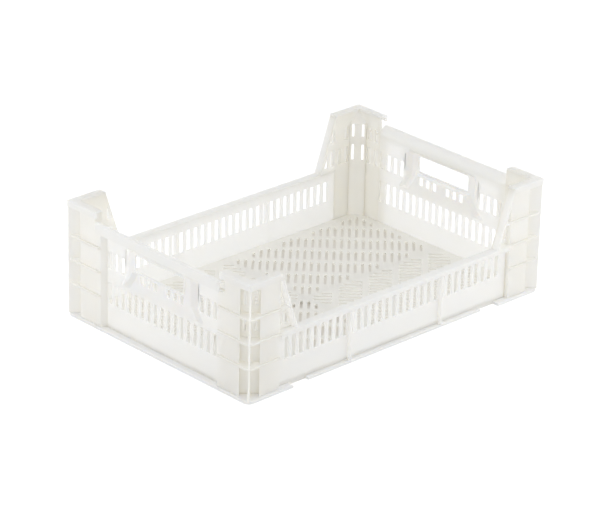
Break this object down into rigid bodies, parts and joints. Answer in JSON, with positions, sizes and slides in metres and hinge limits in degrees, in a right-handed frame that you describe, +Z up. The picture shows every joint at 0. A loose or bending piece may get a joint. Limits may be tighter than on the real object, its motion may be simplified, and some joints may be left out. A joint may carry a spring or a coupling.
{
  "type": "potato crate",
  "caption": "Low ventilated stacking crate of translucent natural plastic, with raised closed corners, slotted walls and floor, and a hand hold in each end.",
  "frame": {"origin": "on the ground, at the middle of the footprint", "axes": "+X along the long sides, +Y across to the rear long side, +Z up"},
  "size_m": [0.6, 0.4, 0.186],
  "materials": {
    "moulding": "satin, slightly translucent natural polypropylene"
  },
  "bodies": {
    "root": {"floor_ribs": "moulding", "front_side_wall": "moulding", "front_side_rim": "moulding", "front_side_ribs": "moulding", "front_foot_rail": "moulding", "rear_side_wall": "moulding", "rear_side_rim": "moulding", "rear_side_ribs": "moulding", "rear_foot_rail": "moulding", "left_end_wall": "moulding", "left_handle_panel": "moulding", "left_handle_grip": "moulding", "left_end_rail": "moulding", "left_foot_rail": "moulding", "right_end_wall": "moulding", "right_handle_panel": "moulding", "right_handle_grip": "moulding", "right_end_rail": "moulding", "right_foot_rail": "moulding", "front_left_floor": "moulding", "front_left_post": "moulding", "front_left_end_leg": "moulding", "front_left_side_leg": "moulding", "front_left_wing_flange": "moulding", "front_left_side_panel": "moulding", "front_left_end_panel": "moulding", "front_left_buttress": "moulding", "front_left_cap": "moulding", "front_left_foot": "moulding", "front_right_floor": "moulding", "front_right_post": "moulding", "front_right_end_leg": "moulding", "front_right_side_leg": "moulding", "front_right_wing_flange": "moulding", "front_right_side_panel": "moulding", "front_right_end_panel": "moulding", "front_right_buttress": "moulding", "front_right_cap": "moulding", "front_right_foot": "moulding", "rear_left_floor": "moulding", "rear_left_post": "moulding", "rear_left_end_leg": "moulding", "rear_left_side_leg": "moulding", "rear_left_wing_flange": "moulding", "rear_left_side_panel": "moulding", "rear_left_end_panel": "moulding", "rear_left_buttress": "moulding", "rear_left_cap": "moulding", "rear_left_foot": "moulding", "rear_right_floor": "moulding", "rear_right_post": "moulding", "rear_right_end_leg": "moulding", "rear_right_side_leg": "moulding", "rear_right_wing_flange": "moulding", "rear_right_side_panel": "moulding", "rear_right_end_panel": "moulding", "rear_right_buttress": "moulding", "rear_right_cap": "moulding", "rear_right_foot": "moulding"}
  },
  "joints": []
}
